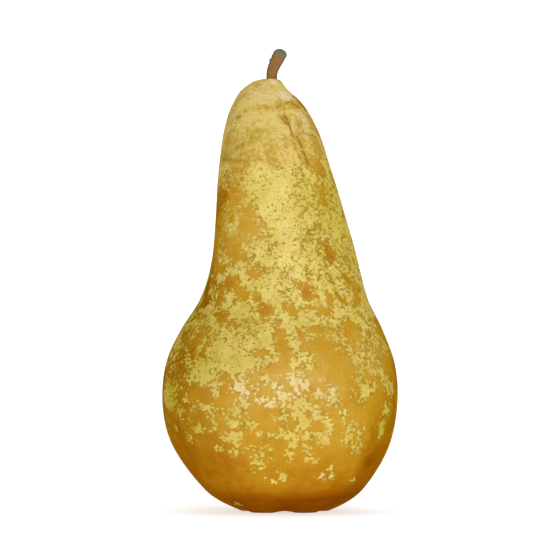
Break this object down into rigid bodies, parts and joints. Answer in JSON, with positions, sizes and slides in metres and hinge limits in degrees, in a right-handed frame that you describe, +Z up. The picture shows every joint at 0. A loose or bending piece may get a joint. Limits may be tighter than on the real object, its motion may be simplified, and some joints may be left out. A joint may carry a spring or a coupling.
{
  "type": "pear",
  "caption": "Ripe long-necked russet pear as picked, standing on its base, with a short woody stalk and a dried calyx in the basin underneath.",
  "frame": {"origin": "on the surface that the pear stands on, under the middle of its widest ring", "axes": "+Z up from the base to the stalk, -Y towards the front of the picture, +X to its right"},
  "size_m": [0.072, 0.0707, 0.1415],
  "materials": {
    "skin": "smooth russet pear skin with a soft sheen",
    "bark": "dry woody stalk with a grey tip",
    "dried_calyx": "dull dried sepals"
  },
  "bodies": {
    "root": {"fruit": "skin", "stalk": "bark", "calyx": "dried_calyx"}
  },
  "joints": []
}
